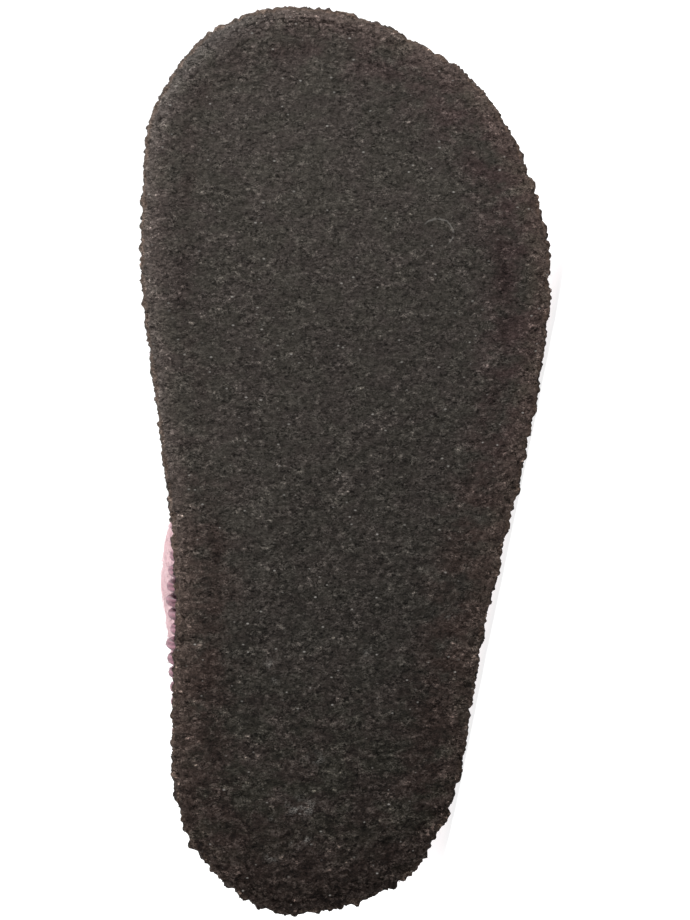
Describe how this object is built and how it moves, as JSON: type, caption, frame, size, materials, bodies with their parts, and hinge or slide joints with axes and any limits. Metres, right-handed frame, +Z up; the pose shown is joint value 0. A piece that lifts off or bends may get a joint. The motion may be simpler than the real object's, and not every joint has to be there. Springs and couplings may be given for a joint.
{
  "type": "slipper",
  "caption": "child's left house slipper: hollow wool felt upper with an open collar, whipstitched with thick yarn to a flat rubber crumb sole, lying on its outer side",
  "frame": {"origin": "middle of the bounding box's bottom face, on the floor that the slipper lies on", "axes": "+Z up and on the medial side, +X from heel to toe, -Y out of the tread, +Y out of the collar; metres"},
  "size_m": [0.1676, 0.0598, 0.0814],
  "materials": {
    "rubber_crumb": "matte",
    "wool_felt": "matte",
    "sock_felt": "matte",
    "wool_yarn": "matte"
  },
  "bodies": {
    "root": {"outsole": "rubber_crumb", "upper": "wool_felt", "insole": "sock_felt", "seam_yarn": "wool_yarn"}
  },
  "joints": []
}
